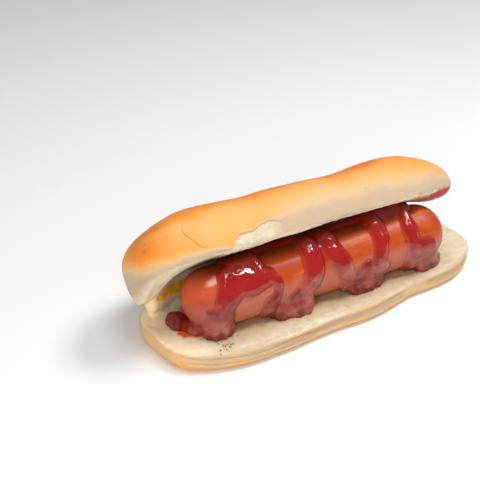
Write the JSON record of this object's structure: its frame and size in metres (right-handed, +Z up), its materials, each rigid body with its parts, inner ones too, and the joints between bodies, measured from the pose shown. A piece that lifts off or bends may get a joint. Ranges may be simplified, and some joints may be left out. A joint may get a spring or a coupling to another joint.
{
  "type": "hot dog",
  "caption": "Hot dog: a soft hinged roll lying open with a cooked frankfurter in it and a zigzag of ketchup over both.",
  "frame": {"origin": "middle of the outline's bounding box, on the plane the roll rests on", "axes": "+X along the roll, the end on the right in the picture; -Y the open front, +Y the hinged back; +Z up"},
  "size_m": [0.1586, 0.0662, 0.0546],
  "materials": {
    "bread": "soft golden crust over pale crumb",
    "sausage": "smooth moist casing",
    "ketchup": "wet glossy sauce"
  },
  "bodies": {
    "root": {"bun": "bread", "sausage": "sausage", "ketchup": "ketchup"}
  },
  "joints": []
}
